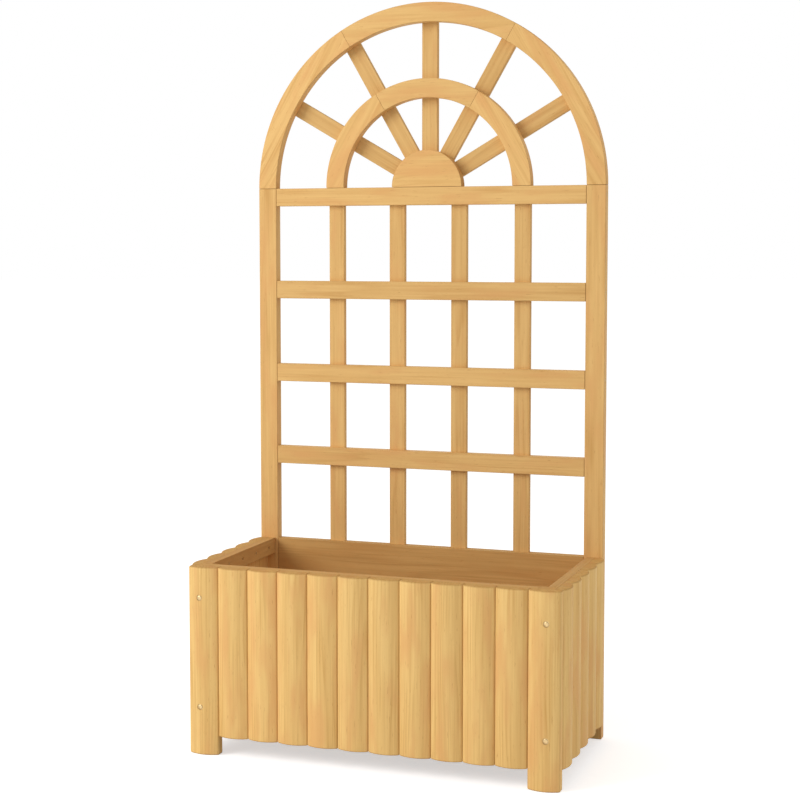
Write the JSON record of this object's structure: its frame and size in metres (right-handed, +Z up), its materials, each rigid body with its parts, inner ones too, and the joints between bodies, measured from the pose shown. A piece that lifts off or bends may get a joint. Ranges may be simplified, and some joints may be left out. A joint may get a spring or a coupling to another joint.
{
  "type": "planter with trellis",
  "caption": "Wooden floor planter box walled with half-round logs, with a tall arched trellis and a fan of spokes standing on its back.",
  "frame": {"origin": "on the floor, in the middle of the outer box's footprint", "axes": "+X along the width, to the right seen from the front; +Y from the front to the back, where the trellis stands; +Z up"},
  "size_m": [0.7, 0.3564, 1.364],
  "materials": {
    "log_wood": "sanded half-round softwood under a clear honey stain, matt",
    "trellis_wood": "planed softwood under a clear honey stain, matt",
    "inner_wood": "plain sawn softwood under a thin honey stain, matt",
    "zinc_steel": "bright zinc-plated bolts and screws"
  },
  "bodies": {
    "root": {"front_leg_left": "log_wood", "front_leg_right": "log_wood", "front_log_1": "log_wood", "front_log_2": "log_wood", "front_log_3": "log_wood", "front_log_4": "log_wood", "front_log_5": "log_wood", "front_log_6": "log_wood", "front_log_7": "log_wood", "front_log_8": "log_wood", "front_log_9": "log_wood", "front_log_10": "log_wood", "side_log_left_1": "log_wood", "side_log_left_2": "log_wood", "side_log_left_3": "log_wood", "side_log_left_4": "log_wood", "side_log_left_5": "log_wood", "side_log_right_1": "log_wood", "side_log_right_2": "log_wood", "side_log_right_3": "log_wood", "side_log_right_4": "log_wood", "side_log_right_5": "log_wood", "corner_post_left": "inner_wood", "corner_post_right": "inner_wood", "front_batten_top": "inner_wood", "front_batten_bottom": "inner_wood", "side_batten_left_top": "inner_wood", "side_batten_left_bottom": "inner_wood", "side_batten_right_top": "inner_wood", "side_batten_right_bottom": "inner_wood", "floor_board_1": "inner_wood", "floor_board_2": "inner_wood", "floor_board_3": "inner_wood", "floor_board_4": "inner_wood", "floor_bearer": "inner_wood", "back_board_1": "inner_wood", "back_board_2": "inner_wood", "back_board_3": "inner_wood", "trellis_post_left": "trellis_wood", "trellis_post_right": "trellis_wood", "trellis_rail_1": "trellis_wood", "trellis_rail_2": "trellis_wood", "trellis_rail_3": "trellis_wood", "trellis_rail_4": "trellis_wood", "trellis_bar_1": "trellis_wood", "trellis_bar_2": "trellis_wood", "trellis_bar_3": "trellis_wood", "trellis_bar_4": "trellis_wood", "arch_left": "trellis_wood", "arch_top": "trellis_wood", "arch_right": "trellis_wood", "fan_ring_left": "trellis_wood", "fan_ring_top": "trellis_wood", "fan_ring_right": "trellis_wood", "fan_hub": "trellis_wood", "fan_spoke_1": "trellis_wood", "fan_spoke_2": "trellis_wood", "fan_spoke_3": "trellis_wood", "fan_spoke_4": "trellis_wood", "fan_spoke_5": "trellis_wood"}
  },
  "joints": []
}
